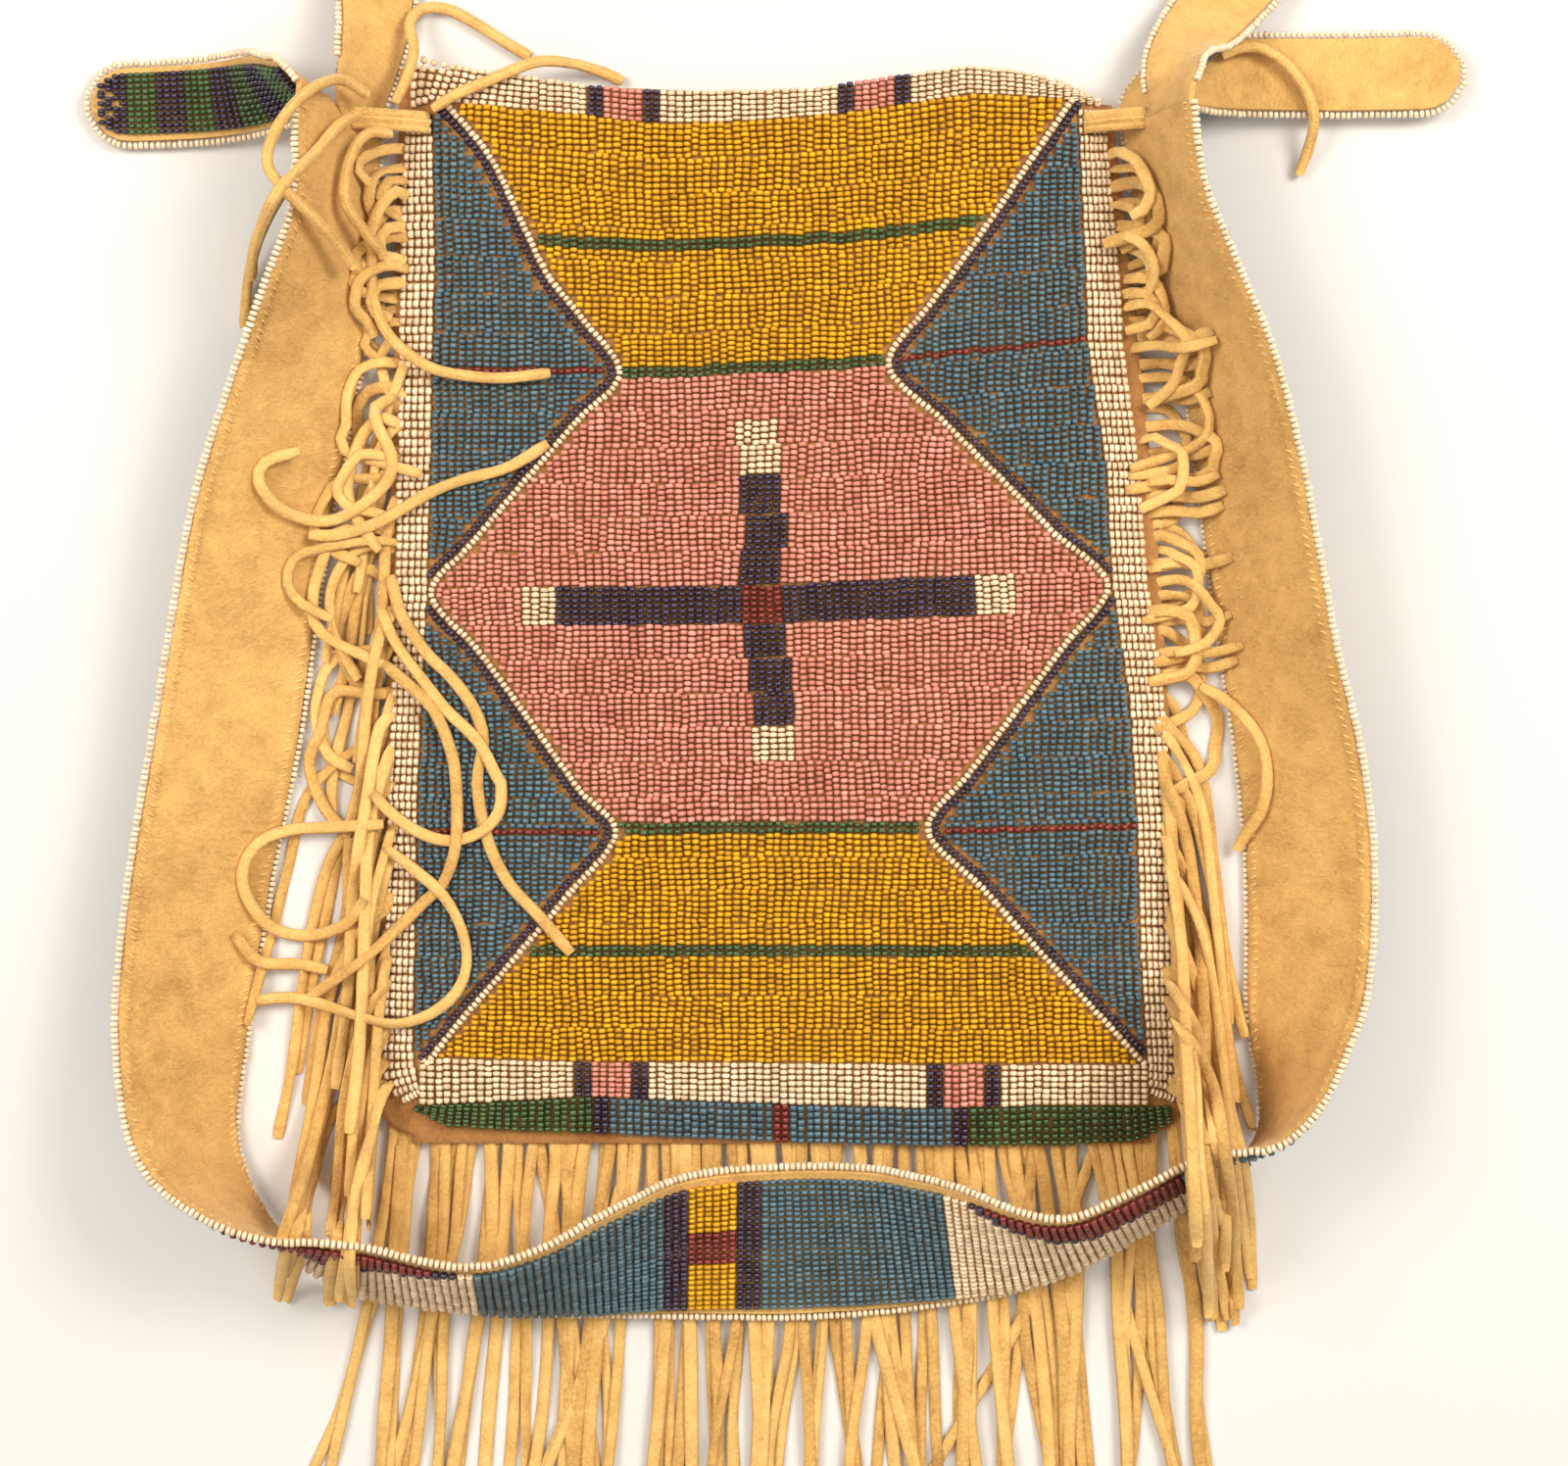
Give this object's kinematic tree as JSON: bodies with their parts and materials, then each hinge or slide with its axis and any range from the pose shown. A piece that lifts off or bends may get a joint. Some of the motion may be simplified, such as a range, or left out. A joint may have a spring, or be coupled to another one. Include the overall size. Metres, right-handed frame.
{
  "type": "beaded hide medicine bag",
  "caption": "Flat hide pouch with a lane-stitched bead front, hide fringe on the sides and bottom, and a beaded strap whose split ends hang from the corners.",
  "frame": {"origin": "centre of the back panel's outer face, which lies on the surface", "axes": "+Y towards the mouth of the bag, +Z out of the beaded front, +X to the right of the front"},
  "size_m": [0.3434, 0.4253, 0.0464],
  "materials": {
    "buckskin": "matt smoked hide with a soft nap",
    "ivory_beads": "glossy opaque glass",
    "pink_beads": "glossy opaque glass",
    "green_beads": "glossy opaque glass",
    "blue_beads": "glossy opaque glass",
    "yellow_beads": "glossy opaque glass",
    "navy_beads": "glossy opaque glass",
    "red_beads": "glossy opaque glass"
  },
  "bodies": {
    "root": {"back_panel": "buckskin", "front_panel": "buckskin", "beadwork_field": "pink_beads", "beadwork_top_band": "ivory_beads", "beadwork_bottom_band": "ivory_beads", "beadwork_base_lane": "green_beads", "beadwork_left_border": "ivory_beads", "beadwork_right_border": "ivory_beads", "fringe_left": "buckskin", "fringe_right": "buckskin", "fringe_bottom": "buckskin", "strap": "buckskin", "strap_beadwork": "blue_beads", "strap_edging_upper": "ivory_beads", "strap_edging_lower": "ivory_beads", "corner_tie_left": "buckskin", "corner_tie_right": "buckskin", "tail_beadwork_left_side": "green_beads", "tail_beadwork_left_up": "green_beads", "tail_beadwork_right_side": "green_beads", "tail_beadwork_right_up": "green_beads", "tail_edging_left_side": "ivory_beads", "tail_edging_left_up": "ivory_beads", "tail_edging_right_side": "ivory_beads", "tail_edging_right_up": "ivory_beads", "thong_left_top": "buckskin", "thong_left_loop": "buckskin", "thong_left_outer": "buckskin", "thong_left_long": "buckskin", "thong_left_inner": "buckskin", "thong_left_low": "buckskin", "thong_left_behind": "buckskin", "thong_right": "buckskin"}
  },
  "joints": []
}
